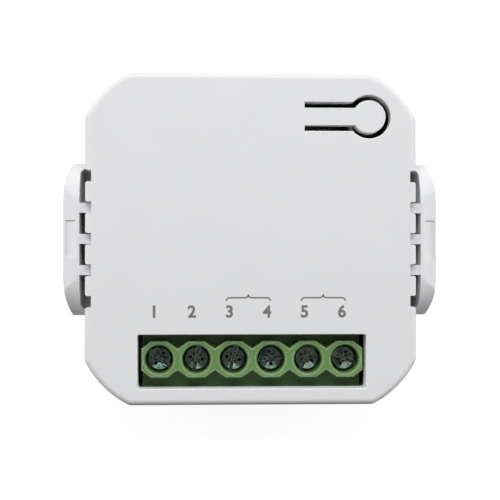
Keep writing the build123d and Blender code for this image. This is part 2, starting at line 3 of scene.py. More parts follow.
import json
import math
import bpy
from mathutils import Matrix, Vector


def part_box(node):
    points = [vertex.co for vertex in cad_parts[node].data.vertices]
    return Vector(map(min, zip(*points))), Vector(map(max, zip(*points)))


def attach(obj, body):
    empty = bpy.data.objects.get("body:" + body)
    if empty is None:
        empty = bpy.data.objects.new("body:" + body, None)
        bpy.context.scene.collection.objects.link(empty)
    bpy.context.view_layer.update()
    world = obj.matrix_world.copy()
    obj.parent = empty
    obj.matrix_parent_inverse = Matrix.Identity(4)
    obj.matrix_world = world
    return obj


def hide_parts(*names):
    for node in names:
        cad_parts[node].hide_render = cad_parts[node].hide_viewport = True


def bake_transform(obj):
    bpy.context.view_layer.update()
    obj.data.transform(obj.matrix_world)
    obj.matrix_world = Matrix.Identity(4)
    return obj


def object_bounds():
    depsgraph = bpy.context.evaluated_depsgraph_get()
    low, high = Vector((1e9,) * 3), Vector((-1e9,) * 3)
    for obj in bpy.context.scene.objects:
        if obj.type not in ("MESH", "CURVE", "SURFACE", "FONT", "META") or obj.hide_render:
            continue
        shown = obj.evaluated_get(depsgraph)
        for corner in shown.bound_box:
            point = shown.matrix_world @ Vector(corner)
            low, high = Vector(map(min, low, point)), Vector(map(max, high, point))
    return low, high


bl_info = {
    "name": "Energy monitor module",
    "version": (1, 0, 0),
    "blender": (4, 5, 0),
    "location": "View3D > Sidebar > Module",
    "description": "Builds the finishes and the fine pieces of an in-wall energy monitor module",
    "category": "Object",
}

import bmesh
import bpy
from bpy.props import FloatProperty, FloatVectorProperty, PointerProperty
from mathutils import Matrix, Vector

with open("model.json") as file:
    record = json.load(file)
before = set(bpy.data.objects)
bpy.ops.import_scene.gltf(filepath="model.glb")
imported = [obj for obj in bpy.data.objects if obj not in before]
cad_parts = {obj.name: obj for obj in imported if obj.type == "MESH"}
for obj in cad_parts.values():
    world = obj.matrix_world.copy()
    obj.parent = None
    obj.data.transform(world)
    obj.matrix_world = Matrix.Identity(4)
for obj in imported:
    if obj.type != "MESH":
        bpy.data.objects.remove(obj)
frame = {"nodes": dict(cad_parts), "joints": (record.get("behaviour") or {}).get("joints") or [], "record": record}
cad_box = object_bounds()
nodes = frame["nodes"]
joints = {joint["name"]: joint for joint in frame["joints"]}
face_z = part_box("front_cover")[1].z
board_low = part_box("main_board")[0].z
pole_count = sum(name.startswith("screw_turn_") for name in joints)
pole_places = [Vector(joints[f"screw_turn_{i + 1}"]["pos_m"]) for i in range(pole_count)]
hinge_x, hinge_y, _ = joints["button_press"]["pos_m"]


# Shared shader groups


def new_group(name, inputs, outputs):
    """An empty shader group with named value inputs and outputs."""
    group = bpy.data.node_groups.new(name, "ShaderNodeTree")
    for label, default in inputs:
        socket = group.interface.new_socket(label, in_out="INPUT", socket_type="NodeSocketFloat")
        socket.default_value = default
    for label in outputs:
        group.interface.new_socket(label, in_out="OUTPUT", socket_type="NodeSocketFloat")
    return group, group.nodes.new("NodeGroupInput"), group.nodes.new("NodeGroupOutput")


def add(tree, kind, **values):
    node = tree.nodes.new(kind)
    for key, value in values.items():
        setattr(node, key, value)
    return node


def math_node(tree, operation, first, second=None, clamp=False):
    """A Math node whose inputs are sockets or plain numbers; gives its output socket."""
    node = add(tree, "ShaderNodeMath", operation=operation, use_clamp=clamp)
    for index, value in enumerate((first, second)):
        if value is None:
            continue
        if isinstance(value, (int, float)):
            node.inputs[index].default_value = value
        else:
            tree.links.new(value, node.inputs[index])
    return node.outputs[0]


def noise(tree, vector, scale, detail=2.0, roughness=0.5):
    node = add(tree, "ShaderNodeTexNoise")
    tree.links.new(vector, node.inputs["Vector"])
    if isinstance(scale, (int, float)):
        node.inputs["Scale"].default_value = scale
    else:
        tree.links.new(scale, node.inputs["Scale"])
    node.inputs["Detail"].default_value = detail
    node.inputs["Roughness"].default_value = roughness
    return node.outputs["Fac"]


def remap(tree, value, low, high, out_low=0.0, out_high=1.0):
    node = add(tree, "ShaderNodeMapRange", clamp=True)
    tree.links.new(value, node.inputs["Value"])
    limits = {"From Min": low, "From Max": high, "To Min": out_low, "To Max": out_high}
    for label, number in limits.items():
        node.inputs[label].default_value = number
    return node.outputs["Result"]


def grain_group():
    """Fine moulded or cast grain, and broad soft patches, on object coordinates."""
    group, source, result = new_group(
        "surface_grain", [("Grain Scale", 6000.0), ("Patch Scale", 120.0)], ["Height", "Patches"]
    )
    place = add(group, "ShaderNodeTexCoord").outputs["Object"]
    fine = noise(group, place, source.outputs["Grain Scale"], 3.0, 0.6)
    coarse = noise(group, place, source.outputs["Patch Scale"], 3.0, 0.55)
    group.links.new(fine, result.inputs["Height"])
    group.links.new(remap(group, coarse, 0.3, 0.7), result.inputs["Patches"])
    return group


def wear_and_highlight_group():
    """A mask that is 1 on convex edges, broken up by a noise: worn edges, and on the terminal block and the screws
    a painted highlight.
    """
    inputs = [("Radius", 0.0002), ("Breakup Scale", 1500.0)]
    group, source, result = new_group("edge_wear", inputs, ["Mask"])
    bevel = add(group, "ShaderNodeBevel", samples=6)
    group.links.new(source.outputs["Radius"], bevel.inputs["Radius"])
    plain = add(group, "ShaderNodeNewGeometry")
    dot = add(group, "ShaderNodeVectorMath", operation="DOT_PRODUCT")
    group.links.new(bevel.outputs["Normal"], dot.inputs[0])
    group.links.new(plain.outputs["True Normal"], dot.inputs[1])
    edge = remap(group, dot.outputs["Value"], 0.995, 0.9)
    place = add(group, "ShaderNodeTexCoord").outputs["Object"]
    breakup = noise(group, place, source.outputs["Breakup Scale"], 4.0, 0.65)
    broken = remap(group, breakup, 0.35, 0.65, 0.35, 1.0)
    group.links.new(math_node(group, "MULTIPLY", edge, broken), result.inputs["Mask"])
    return group


def brush_group():
    """Long fine scratches along X, for rolled and plated metal."""
    group, source, result = new_group(
        "brushed_metal", [("Scratch Scale", 3000.0)], ["Height", "Tarnish"]
    )
    place = add(group, "ShaderNodeTexCoord").outputs["Object"]
    stretch = add(group, "ShaderNodeMapping")
    stretch.inputs["Scale"].default_value = (0.06, 1.0, 1.0)
    group.links.new(place, stretch.inputs["Vector"])
    lines = noise(group, stretch.outputs["Vector"], source.outputs["Scratch Scale"], 4.0, 0.7)
    stain = noise(group, place, 900.0, 3.0, 0.6)
    group.links.new(lines, result.inputs["Height"])
    group.links.new(remap(group, stain, 0.35, 0.7), result.inputs["Tarnish"])
    return group


def trace_group():
    """Copper traces under solder mask: bands with right-angled turns, on object coordinates."""
    group, source, result = new_group("board_traces", [("Pitch", 0.0024)], ["Trace", "Height"])
    place = add(group, "ShaderNodeTexCoord").outputs["Object"]
    split = add(group, "ShaderNodeSeparateXYZ")
    group.links.new(place, split.inputs["Vector"])
    cells = add(group, "ShaderNodeTexVoronoi", distance="CHEBYCHEV", feature="F1")
    cells.inputs["Scale"].default_value = 130.0
    group.links.new(place, cells.inputs["Vector"])
    turn = math_node(group, "GREATER_THAN", cells.outputs["Color"], 0.5)
    across = add(group, "ShaderNodeMix", data_type="FLOAT")
    group.links.new(turn, across.inputs["Factor"])
    group.links.new(split.outputs["X"], across.inputs["A"])
    group.links.new(split.outputs["Y"], across.inputs["B"])
    share = math_node(group, "DIVIDE", across.outputs["Result"], source.outputs["Pitch"])
    wave = math_node(group, "PINGPONG", share, 0.5)
    band = remap(group, wave, 0.27, 0.31)
    group.links.new(band, result.inputs["Trace"])
    group.links.new(band, result.inputs["Height"])
    return group


GROUPS = {
    "grain": grain_group(),
    "wear_and_highlight": wear_and_highlight_group(),
    "brush": brush_group(),
    "traces": trace_group(),
}


# Finishes


def use_group(tree, key, **values):
    node = add(tree, "ShaderNodeGroup", node_tree=GROUPS[key])
    for label, number in values.items():
        node.inputs[label.replace("_", " ")].default_value = number
    return node


def new_finish(name):
    material = bpy.data.materials.new(f"{name}_finish")
    material.use_nodes = True
    tree = material.node_tree
    return material, tree, tree.nodes["Principled BSDF"]


def mix_colour(tree, mask, first, second):
    """Mixes two colours, each a socket or a plain colour, by a mask socket."""
    node = add(tree, "ShaderNodeMix", data_type="RGBA")
    tree.links.new(mask, node.inputs["Factor"])
    for label, value in (("A", first), ("B", second)):
        socket = next(s for s in node.inputs if s.name == label and s.type == "RGBA")
        if isinstance(value, bpy.types.NodeSocket):
            tree.links.new(value, socket)
        else:
            socket.default_value = (*value, 1.0)
    return next(s for s in node.outputs if s.type == "RGBA")


def bump(tree, shader, height, distance):
    node = add(tree, "ShaderNodeBump")
    node.inputs["Strength"].default_value = 1.0
    node.inputs["Distance"].default_value = distance
    tree.links.new(height, node.inputs["Height"])
    tree.links.new(node.outputs["Normal"], shader.inputs["Normal"])


def seen_plainly(tree):
    """1 where the camera looks at a surface, also in a reflection or through glass."""
    path = add(tree, "ShaderNodeLightPath")
    either = math_node(tree, "MAXIMUM", path.outputs["Is Camera Ray"], path.outputs["Is Glossy Ray"])
    return math_node(tree, "MAXIMUM", either, path.outputs["Is Transmission Ray"])


def plastic(name, colour, wear_and_highlight_colour, roughness, grain, depth, patch, specular=0.5, edge=0.00012):
    """Moulded plastic: a soft tone change, fine grain and paler edges, which are worn edges and, on the terminal
    block, a painted highlight.
    """
    material, tree, shader = new_finish(name)
    surface = use_group(tree, "grain", Grain_Scale=grain, Patch_Scale=150.0)
    wear_and_highlight = use_group(tree, "wear_and_highlight", Radius=edge, Breakup_Scale=1800.0)
    darker = tuple(channel * (1 - patch) for channel in colour)
    tone = mix_colour(tree, surface.outputs["Patches"], darker, colour)
    # The edge colour over the edge mask: pale worn edges, and on the terminal block a painted highlight.
    tree.links.new(mix_colour(tree, wear_and_highlight.outputs["Mask"], tone, wear_and_highlight_colour), shader.inputs["Base Color"])
    uneven = remap(tree, surface.outputs["Patches"], 0.0, 1.0, roughness - 0.04, roughness + 0.05)
    tree.links.new(uneven, shader.inputs["Roughness"])
    shader.inputs["Specular IOR Level"].default_value = specular
    bump(tree, shader, surface.outputs["Height"], depth)
    return material


def metal(
    name, colour, stained, roughness, wear_and_highlight_colour=(0.8, 0.8, 0.78), scratches=3000.0, depth=0.000003, edge=0.0001
):
    """Plated metal: fine scratches, a little tarnish and bright edges, which are worn edges and, on the screws,
    painted glints.
    """
    material, tree, shader = new_finish(name)
    brush = use_group(tree, "brush", Scratch_Scale=scratches)
    wear_and_highlight = use_group(tree, "wear_and_highlight", Radius=edge, Breakup_Scale=2500.0)
    tone = mix_colour(tree, brush.outputs["Tarnish"], colour, stained)
    # The edge colour over the edge mask: bright worn edges, and on the screws painted glints.
    tree.links.new(mix_colour(tree, wear_and_highlight.outputs["Mask"], tone, wear_and_highlight_colour), shader.inputs["Base Color"])
    uneven = remap(tree, brush.outputs["Tarnish"], 0.0, 1.0, roughness - 0.06, roughness + 0.12)
    tree.links.new(uneven, shader.inputs["Roughness"])
    shader.inputs["Metallic"].default_value = 1.0
    bump(tree, shader, brush.outputs["Height"], depth)
    return material


def laminate(name):
    """Circuit board: green mask over traces, with a fine weave in the height."""
    material, tree, shader = new_finish(name)
    traces = use_group(tree, "traces", Pitch=0.0022)
    surface = use_group(tree, "grain", Grain_Scale=2600.0, Patch_Scale=200.0)
    bare, traced, stained = (0.008, 0.07, 0.028), (0.018, 0.14, 0.05), (0.01, 0.05, 0.025)
    stain = math_node(tree, "MULTIPLY", surface.outputs["Patches"], 0.25)
    tone = mix_colour(tree, stain, mix_colour(tree, traces.outputs["Trace"], bare, traced), stained)
    tree.links.new(tone, shader.inputs["Base Color"])
    gloss = remap(tree, surface.outputs["Height"], 0.3, 0.7, 0.24, 0.38)
    tree.links.new(gloss, shader.inputs["Roughness"])
    weave = math_node(tree, "MULTIPLY", surface.outputs["Height"], 0.2)
    height = math_node(tree, "ADD", traces.outputs["Height"], weave)
    bump(tree, shader, height, 0.00003)
    return material


def make_finishes(look):
    """Every finish of the module, by the record's slot name."""
    casing, ink = tuple(look.casing_colour), tuple(look.ink_colour)
    plastics = {
        "casing_plastic": dict(
            colour=casing, wear_and_highlight_colour=tuple(min(1.0, c * 1.12) for c in casing), roughness=0.55,
            grain=5200.0, depth=0.000007, patch=0.018, specular=0.2,
        ),
        # The terminal block's pale edge colour is a painted highlight along its upper edges.
        "terminal_plastic": dict(
            colour=tuple(look.terminal_colour), wear_and_highlight_colour=(0.74, 0.9, 0.62), roughness=0.42,
            grain=4200.0, depth=0.000006, patch=0.16, specular=0.3, edge=0.00017,
        ),
        "switch_plastic": dict(
            colour=(0.022, 0.022, 0.023), wear_and_highlight_colour=(0.07, 0.07, 0.07), roughness=0.45,
            grain=5000.0, depth=0.000006, patch=0.2,
        ),
        "chip_moulding": dict(
            colour=(0.018, 0.018, 0.02), wear_and_highlight_colour=(0.055, 0.055, 0.055), roughness=0.5,
            grain=9000.0, depth=0.000008, patch=0.25,
        ),
        "led_moulding": dict(
            colour=(0.76, 0.7, 0.42), wear_and_highlight_colour=(0.85, 0.82, 0.7), roughness=0.2,
            grain=3000.0, depth=0.000002, patch=0.06,
        ),
        "ceramic": dict(
            colour=(0.38, 0.26, 0.16), wear_and_highlight_colour=(0.55, 0.42, 0.3), roughness=0.5,
            grain=9000.0, depth=0.000005, patch=0.15,
        ),
        "capacitor_sleeve": dict(
            colour=(0.02, 0.035, 0.1), wear_and_highlight_colour=(0.08, 0.1, 0.2), roughness=0.24,
            grain=1500.0, depth=0.000004, patch=0.2,
        ),
        "film_case": dict(
            colour=(0.62, 0.4, 0.045), wear_and_highlight_colour=(0.75, 0.55, 0.15), roughness=0.38,
            grain=4000.0, depth=0.000005, patch=0.08,
        ),
        "varistor_coating": dict(
            colour=(0.03, 0.12, 0.34), wear_and_highlight_colour=(0.1, 0.22, 0.45), roughness=0.3,
            grain=1200.0, depth=0.00001, patch=0.15,
        ),
        "resistor_coating": dict(
            colour=(0.1, 0.27, 0.25), wear_and_highlight_colour=(0.25, 0.4, 0.38), roughness=0.55,
            grain=3500.0, depth=0.00001, patch=0.12,
        ),
        "ferrite": dict(
            colour=(0.035, 0.035, 0.038), wear_and_highlight_colour=(0.09, 0.09, 0.09), roughness=0.5,
            grain=7000.0, depth=0.000008, patch=0.2,
        ),
        "printing_ink": dict(
            colour=ink, wear_and_highlight_colour=ink, roughness=0.6, grain=9000.0, depth=0.000002, patch=0.12,
        ),
    }
    metals = {
        # The screws' bright edge colour, on a narrow edge radius, is painted glints on the heads' rims and cross
        # edges.
        "screw_steel": dict(
            colour=tuple(look.screw_colour), wear_and_highlight_colour=(0.36, 0.42, 0.38), stained=(0.009, 0.016, 0.012),
            roughness=0.22, scratches=4200.0, depth=0.000005, edge=0.00005,
        ),
        "cage_steel": dict(
            colour=(0.52, 0.52, 0.5), stained=(0.34, 0.33, 0.3), roughness=0.32,
        ),
        "tinned_contact": dict(
            colour=(0.6, 0.58, 0.53), wear_and_highlight_colour=(0.8, 0.78, 0.7), stained=(0.42, 0.38, 0.3), roughness=0.35,
        ),
        "shield_metal": dict(
            colour=(0.58, 0.58, 0.56), stained=(0.42, 0.42, 0.41), roughness=0.28, scratches=1800.0,
        ),
        "copper_wire": dict(
            colour=(0.5, 0.17, 0.05), wear_and_highlight_colour=(0.72, 0.36, 0.16), stained=(0.36, 0.1, 0.03),
            roughness=0.25,
        ),
        "solder": dict(
            colour=(0.62, 0.62, 0.6), stained=(0.45, 0.45, 0.43), roughness=0.2,
        ),
    }
    finishes = {name: plastic(name, **values) for name, values in plastics.items()}
    finishes.update({name: metal(name, **values) for name, values in metals.items()})
    finishes["board_laminate"] = laminate("board_laminate")
    return finishes


FINISHES = {}


def finish_of(name):
    if name not in FINISHES:
        raise RuntimeError(f"the finish {name} hasn't been made")
    return FINISHES[name]


def wear_finish(obj, name):
    """Gives an object one finish only."""
    obj.data.materials.clear()
    obj.data.materials.append(finish_of(name))


def finish_slot_nodes(names):
    """Dresses CAD nodes in the finish of their slot in the record."""
    slots = {part["node"]: part["material_slot"] for part in frame["record"]["subparts"]}
    for name in names:
        wear_finish(nodes[name], slots[name])


# Meshes


def mesh_object(name, mesh, body):
    """Puts a finished mesh in the scene, riding on a body."""
    obj = bpy.data.objects.new(name, mesh)
    bpy.context.scene.collection.objects.link(obj)
    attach(obj, body)
    return obj


def from_bmesh(name, bm, smooth_angle=None):
    mesh = bpy.data.meshes.new(name)
    bmesh.ops.recalc_face_normals(bm, faces=bm.faces[:])
    bm.to_mesh(mesh)
    bm.free()
    if smooth_angle:
        smooth_by_angle(mesh, smooth_angle)
    return mesh


def smooth_by_angle(mesh, degrees):
    """Smooth faces, with sharp edges wherever two faces meet at more than the angle."""
    bm = bmesh.new()
    bm.from_mesh(mesh)
    for face in bm.faces:
        face.smooth = True
    limit = math.radians(degrees)
    for edge in bm.edges:
        edge.smooth = len(edge.link_faces) != 2 or edge.calc_face_angle(0.0) < limit
    bm.to_mesh(mesh)
    bm.free()


def level_faces_flat(mesh):
    """Shades level faces flat, so that a rounded edge doesn't tint a whole broad top."""
    nearly_level = 0.999
    for face in mesh.polygons:
        if abs(face.normal.z) > nearly_level:
            face.use_smooth = False


def lathe(bm, profile, centre, steps=48):
    """A closed solid of revolution about Z from (radius, height) points, low to high."""
    rings = []
    for radius, height in profile:
        if radius == 0:
            rings.append([bm.verts.new((centre[0], centre[1], height))])
            continue
        rings.append([])
        for i in range(steps):
            angle = i * (2 * math.pi / steps)
            x, y = centre[0] + radius * math.cos(angle), centre[1] + radius * math.sin(angle)
            rings[-1].append(bm.verts.new((x, y, height)))
    for lower, upper in zip(rings, rings[1:]):
        for i in range(steps):
            j = (i + 1) % steps
            if len(lower) == 1:
                bm.faces.new((lower[0], upper[j], upper[i]))
            elif len(upper) == 1:
                bm.faces.new((lower[i], lower[j], upper[0]))
            else:
                bm.faces.new((lower[i], lower[j], upper[j], upper[i]))
    return rings


def evaluated_copy(obj, name):
    """The object's mesh with its modifiers applied, as new data."""
    graph = bpy.context.evaluated_depsgraph_get()
    mesh = bpy.data.meshes.new_from_object(obj.evaluated_get(graph))
    mesh.name = name
    return mesh


# Geometry Nodes


def geometry_tree(name, inputs):
    tree = bpy.data.node_groups.new(name, "GeometryNodeTree")
    for label, kind, default in inputs:
        socket = tree.interface.new_socket(label, in_out="INPUT", socket_type=kind)
        if default is not None:
            socket.default_value = default
    tree.interface.new_socket("Geometry", in_out="OUTPUT", socket_type="NodeSocketGeometry")
    return tree, tree.nodes.new("NodeGroupInput"), tree.nodes.new("NodeGroupOutput")


def grow(tree, values, name):
    """Runs a tree on an empty mesh with the given inputs and gives the result as a plain mesh."""
    carrier = bpy.data.objects.new("carrier", bpy.data.meshes.new("carrier"))
    bpy.context.scene.collection.objects.link(carrier)
    modifier = carrier.modifiers.new("grow", "NODES")
    modifier.node_group = tree
    items = [item for item in tree.interface.items_tree if item.in_out == "INPUT"]
    sockets = {item.name: item.identifier for item in items}
    for label, value in values.items():
        modifier[sockets[label]] = value
    bpy.context.view_layer.update()
    mesh = evaluated_copy(carrier, name)
    carrier.modifiers.clear()
    bpy.data.objects.remove(carrier)
    return mesh


def feed(tree, source, wiring):
    """Links each named input of a tree to a socket of one of its nodes."""
    for label, node, socket in wiring:
        tree.links.new(source.outputs[label], node.inputs[socket])


def end_tree(tree, geometry, source, result):
    """Realizes the instances, sets the finish and ends the tree."""
    realize = tree.nodes.new("GeometryNodeRealizeInstances")
    paint = tree.nodes.new("GeometryNodeSetMaterial")
    tree.links.new(geometry, realize.inputs["Geometry"])
    tree.links.new(realize.outputs["Geometry"], paint.inputs["Geometry"])
    tree.links.new(source.outputs["Finish"], paint.inputs["Material"])
    tree.links.new(paint.outputs["Geometry"], result.inputs["Geometry"])


def coil_tree():
    """A wire wound in a helix: a screw's thread or a coil's turns."""
    tree, source, result = geometry_tree("wound_wire", [
        ("Radius", "NodeSocketFloat", 0.001),
        ("Wire Radius", "NodeSocketFloat", 0.0001),
        ("Height", "NodeSocketFloat", 0.004),
        ("Turns", "NodeSocketFloat", 8.0),
        ("Steps", "NodeSocketInt", 40),
        ("Sides", "NodeSocketInt", 8),
        ("Centre", "NodeSocketVector", None),
        ("Finish", "NodeSocketMaterial", None),
    ])
    spiral = tree.nodes.new("GeometryNodeCurveSpiral")
    section = tree.nodes.new("GeometryNodeCurvePrimitiveCircle")
    sweep = tree.nodes.new("GeometryNodeCurveToMesh")
    sweep.inputs["Fill Caps"].default_value = True
    place = tree.nodes.new("GeometryNodeTransform")
    smooth = tree.nodes.new("GeometryNodeSetShadeSmooth")
    feed(tree, source, (
        ("Steps", spiral, "Resolution"), ("Turns", spiral, "Rotations"), ("Height", spiral, "Height"),
        ("Radius", spiral, "Start Radius"), ("Radius", spiral, "End Radius"),
        ("Sides", section, "Resolution"), ("Wire Radius", section, "Radius"),
        ("Centre", place, "Translation"),
    ))
    link = tree.links.new
    link(spiral.outputs["Curve"], sweep.inputs["Curve"])
    link(section.outputs["Curve"], sweep.inputs["Profile Curve"])
    link(sweep.outputs["Mesh"], place.inputs["Geometry"])
    link(place.outputs["Geometry"], smooth.inputs["Geometry"])
    end_tree(tree, smooth.outputs["Geometry"], source, result)
    return tree


def solder_tree():
    """A row of solder fillets round the contacts' legs, hanging from the board's underside."""
    tree, source, result = geometry_tree("solder_row", [
        ("Count", "NodeSocketInt", 6),
        ("Start", "NodeSocketVector", None),
        ("Pitch", "NodeSocketVector", None),
        ("Foot Radius", "NodeSocketFloat", 0.001),
        ("Tip Radius", "NodeSocketFloat", 0.0006),
        ("Height", "NodeSocketFloat", 0.0008),
        ("Finish", "NodeSocketMaterial", None),
    ])
    row = tree.nodes.new("GeometryNodeMeshLine")
    cone = tree.nodes.new("GeometryNodeMeshCone")
    cone.inputs["Vertices"].default_value = 24
    cone.inputs["Side Segments"].default_value = 4
    spread = tree.nodes.new("GeometryNodeInstanceOnPoints")
    smooth = tree.nodes.new("GeometryNodeSetShadeSmooth")
    spread.inputs["Rotation"].default_value = (math.pi, 0.0, 0.0)
    feed(tree, source, (
        ("Count", row, "Count"), ("Start", row, "Start Location"), ("Pitch", row, "Offset"),
        ("Tip Radius", cone, "Radius Top"), ("Foot Radius", cone, "Radius Bottom"),
        ("Height", cone, "Depth"),
    ))
    link = tree.links.new
    link(row.outputs["Mesh"], spread.inputs["Points"])
    link(cone.outputs["Mesh"], spread.inputs["Instance"])
    link(spread.outputs["Instances"], smooth.inputs["Geometry"])
    end_tree(tree, smooth.outputs["Geometry"], source, result)
    return tree


# Settings


class ModuleFinishes(bpy.types.PropertyGroup):
    casing_colour: FloatVectorProperty(
        name="Casing", description="Colour of the casing's plastic", subtype="COLOR", size=3,
        default=(0.745, 0.75, 0.76), min=0.0, max=1.0,
    )
    terminal_colour: FloatVectorProperty(
        name="Terminals", description="Colour of the terminal block", subtype="COLOR", size=3,
        default=(0.125, 0.245, 0.075), min=0.0, max=1.0,
    )
    screw_colour: FloatVectorProperty(
        name="Screws", description="Colour of the screws' darkened steel", subtype="COLOR", size=3,
        default=(0.042, 0.06, 0.048), min=0.0, max=1.0,
    )
    ink_colour: FloatVectorProperty(
        name="Printing", description="Colour of the printed numbers", subtype="COLOR", size=3,
        default=(0.15, 0.155, 0.13), min=0.0, max=1.0,
    )


class ModuleButton(bpy.types.PropertyGroup):
    arm_length: FloatProperty(
        name="Tongue length", description="From the tongue's bend line to the head's centre",
        unit="LENGTH", default=0.0088, min=0.002,
    )
    root_length: FloatProperty(
        name="Root length", description="Part of the tongue that sits in the face behind the bend line",
        unit="LENGTH", default=0.0004, min=0.0,
    )
    arm_width: FloatProperty(
        name="Tongue width", description="Width of the tongue",
        unit="LENGTH", default=0.0024, min=0.0005,
    )
    root_width: FloatProperty(
        name="Root width", description="Width of the tongue's seat in the face",
        unit="LENGTH", default=0.0025, min=0.0005,
    )
    head_radius: FloatProperty(
        name="Head radius", description="Radius of the round head",
        unit="LENGTH", default=0.00225, min=0.0005,
    )
    arm_wall: FloatProperty(
        name="Tongue thickness", description="Thickness of the tongue",
        unit="LENGTH", default=0.0012, min=0.0002,
    )
    head_wall: FloatProperty(
        name="Head thickness", description="Thickness of the head",
        unit="LENGTH", default=0.002, min=0.0002,
    )
    edge_round: FloatProperty(
        name="Edge rounding", description="Rounding of the upper edges",
        unit="LENGTH", default=0.0001, min=0.0,
    )
    post_radius: FloatProperty(
        name="Post radius", description="Radius of the post that reaches the switch",
        unit="LENGTH", default=0.001, min=0.0002,
    )


class ModuleScrew(bpy.types.PropertyGroup):
    head_radius: FloatProperty(
        name="Head radius", description="Radius of the screw head",
        unit="LENGTH", default=0.00168, min=0.0005,
    )
    head_height: FloatProperty(
        name="Head height", description="Height of the screw head",
        unit="LENGTH", default=0.00135, min=0.0002,
    )
    dish_depth: FloatProperty(
        name="Dish depth", description="How far the head's top sinks from its rim to its middle",
        unit="LENGTH", default=0.0003, min=0.0,
    )
    slot_width: FloatProperty(
        name="Slot width", description="Width of the full slot",
        unit="LENGTH", default=0.00055, min=0.0001,
    )
    slot_depth: FloatProperty(
        name="Slot depth", description="Depth of the full slot",
        unit="LENGTH", default=0.00055, min=0.0001,
    )
    cross_length: FloatProperty(
        name="Cross length", description="Length of the cross from tip to tip",
        unit="LENGTH", default=0.0023, min=0.0005,
    )
    pocket_radius: FloatProperty(
        name="Pocket radius", description="Radius of the six-sided pocket in the cross",
        unit="LENGTH", default=0.001, min=0.0001,
    )
    cross_depth: FloatProperty(
        name="Cross depth", description="Depth of the cross",
        unit="LENGTH", default=0.00095, min=0.0001,
    )
    core_radius: FloatProperty(
        name="Core radius", description="Radius under the thread",
        unit="LENGTH", default=0.00102, min=0.0002,
    )
    thread_radius: FloatProperty(
        name="Thread radius", description="Outer radius of the thread",
        unit="LENGTH", default=0.00124, min=0.0002,
    )
    thread_pitch: FloatProperty(
        name="Thread pitch", description="Rise of the thread in one turn",
        unit="LENGTH", default=0.00045, min=0.0001,
    )


class ModulePrinting(bpy.types.PropertyGroup):
    digit_height: FloatProperty(
        name="Number height", description="Height of the printed numbers",
        unit="LENGTH", default=0.0016, min=0.0002,
    )
    boldness: FloatProperty(
        name="Boldness", description="How far each number's outline is pushed out",
        unit="LENGTH", default=0.00007, min=0.0,
    )
    shift_x: FloatProperty(
        name="Sideways shift", description="From a screw's middle to its number, along X",
        unit="LENGTH", default=-0.0006,
    )
    digit_y: FloatProperty(
        name="Number place", description="Middle of the numbers along Y",
        unit="LENGTH", default=-0.00992,
    )
    brace_y: FloatProperty(
        name="Brace place", description="Middle of the braces along Y",
        unit="LENGTH", default=-0.00798,
    )
    brace_height: FloatProperty(
        name="Brace height", description="Height of a brace",
        unit="LENGTH", default=0.0009, min=0.0001,
    )
    line_width: FloatProperty(
        name="Line width", description="Width of a printed line",
        unit="LENGTH", default=0.0002, min=0.00002,
    )
    brace_reach: FloatProperty(
        name="Brace reach", description="How far a brace runs past its two numbers",
        unit="LENGTH", default=0.00045, min=0.0,
    )
    film: FloatProperty(
        name="Ink thickness", description="Thickness of the ink over the face",
        unit="LENGTH", default=0.000004, min=0.000001,
    )


class ModuleCoil(bpy.types.PropertyGroup):
    wire_radius: FloatProperty(
        name="Wire radius", description="Radius of the inductor's wire",
        unit="LENGTH", default=0.00014, min=0.00002,
    )
    solder_radius: FloatProperty(
        name="Solder radius", description="Foot radius of a solder joint",
        unit="LENGTH", default=0.00105, min=0.0002,
    )
    solder_height: FloatProperty(
        name="Solder height", description="Height of a solder joint",
        unit="LENGTH", default=0.0009, min=0.0001,
    )
    legs_behind: FloatProperty(
        name="Legs behind the screws", description="From the screw row to the legs, along Y",
        unit="LENGTH", default=0.00215,
    )


class ModuleStage(bpy.types.PropertyGroup):
    camera_place: FloatVectorProperty(
        name="Camera", description="Where the camera stands", subtype="TRANSLATION",
        unit="LENGTH", size=3, default=(-0.00633, -0.00302, 0.1636),
    )
    camera_aim: FloatVectorProperty(
        name="Aim", description="The direction the camera looks in", subtype="DIRECTION", size=3,
        default=(0.0421, 0.0103, -1.0),
    )
    lens: FloatProperty(
        name="Lens", description="Focal length in millimetres",
        default=77.3, min=10.0,
    )
    sky: FloatProperty(
        name="Sky", description="Strength of the even light all round",
        default=0.13, min=0.0,
    )
    key: FloatProperty(
        name="Key light", description="Power of the large lamp at the far end",
        unit="POWER", default=3.1, min=0.0,
    )
    side: FloatProperty(
        name="Side light", description="Power of each side lamp",
        unit="POWER", default=0.62, min=0.0,
    )
    rear: FloatProperty(
        name="Rear light", description="Power of the lamp below",
        unit="POWER", default=1.1, min=0.0,
    )


SETTINGS = {
    "module_finishes": ModuleFinishes,
    "module_button": ModuleButton,
    "module_screw": ModuleScrew,
    "module_printing": ModulePrinting,
    "module_coil": ModuleCoil,
    "module_stage": ModuleStage,
}


# Operators


class MODULE_OT_casing(bpy.types.Operator):
    """Makes the finishes and dresses the cover and the casing"""

    bl_idname = "module.casing"
    bl_label = "Casing"

    def execute(self, context):
        FINISHES.update(make_finishes(context.scene.module_finishes))
        finish_slot_nodes(["front_cover", "rear_casing"])
        return {"FINISHED"}


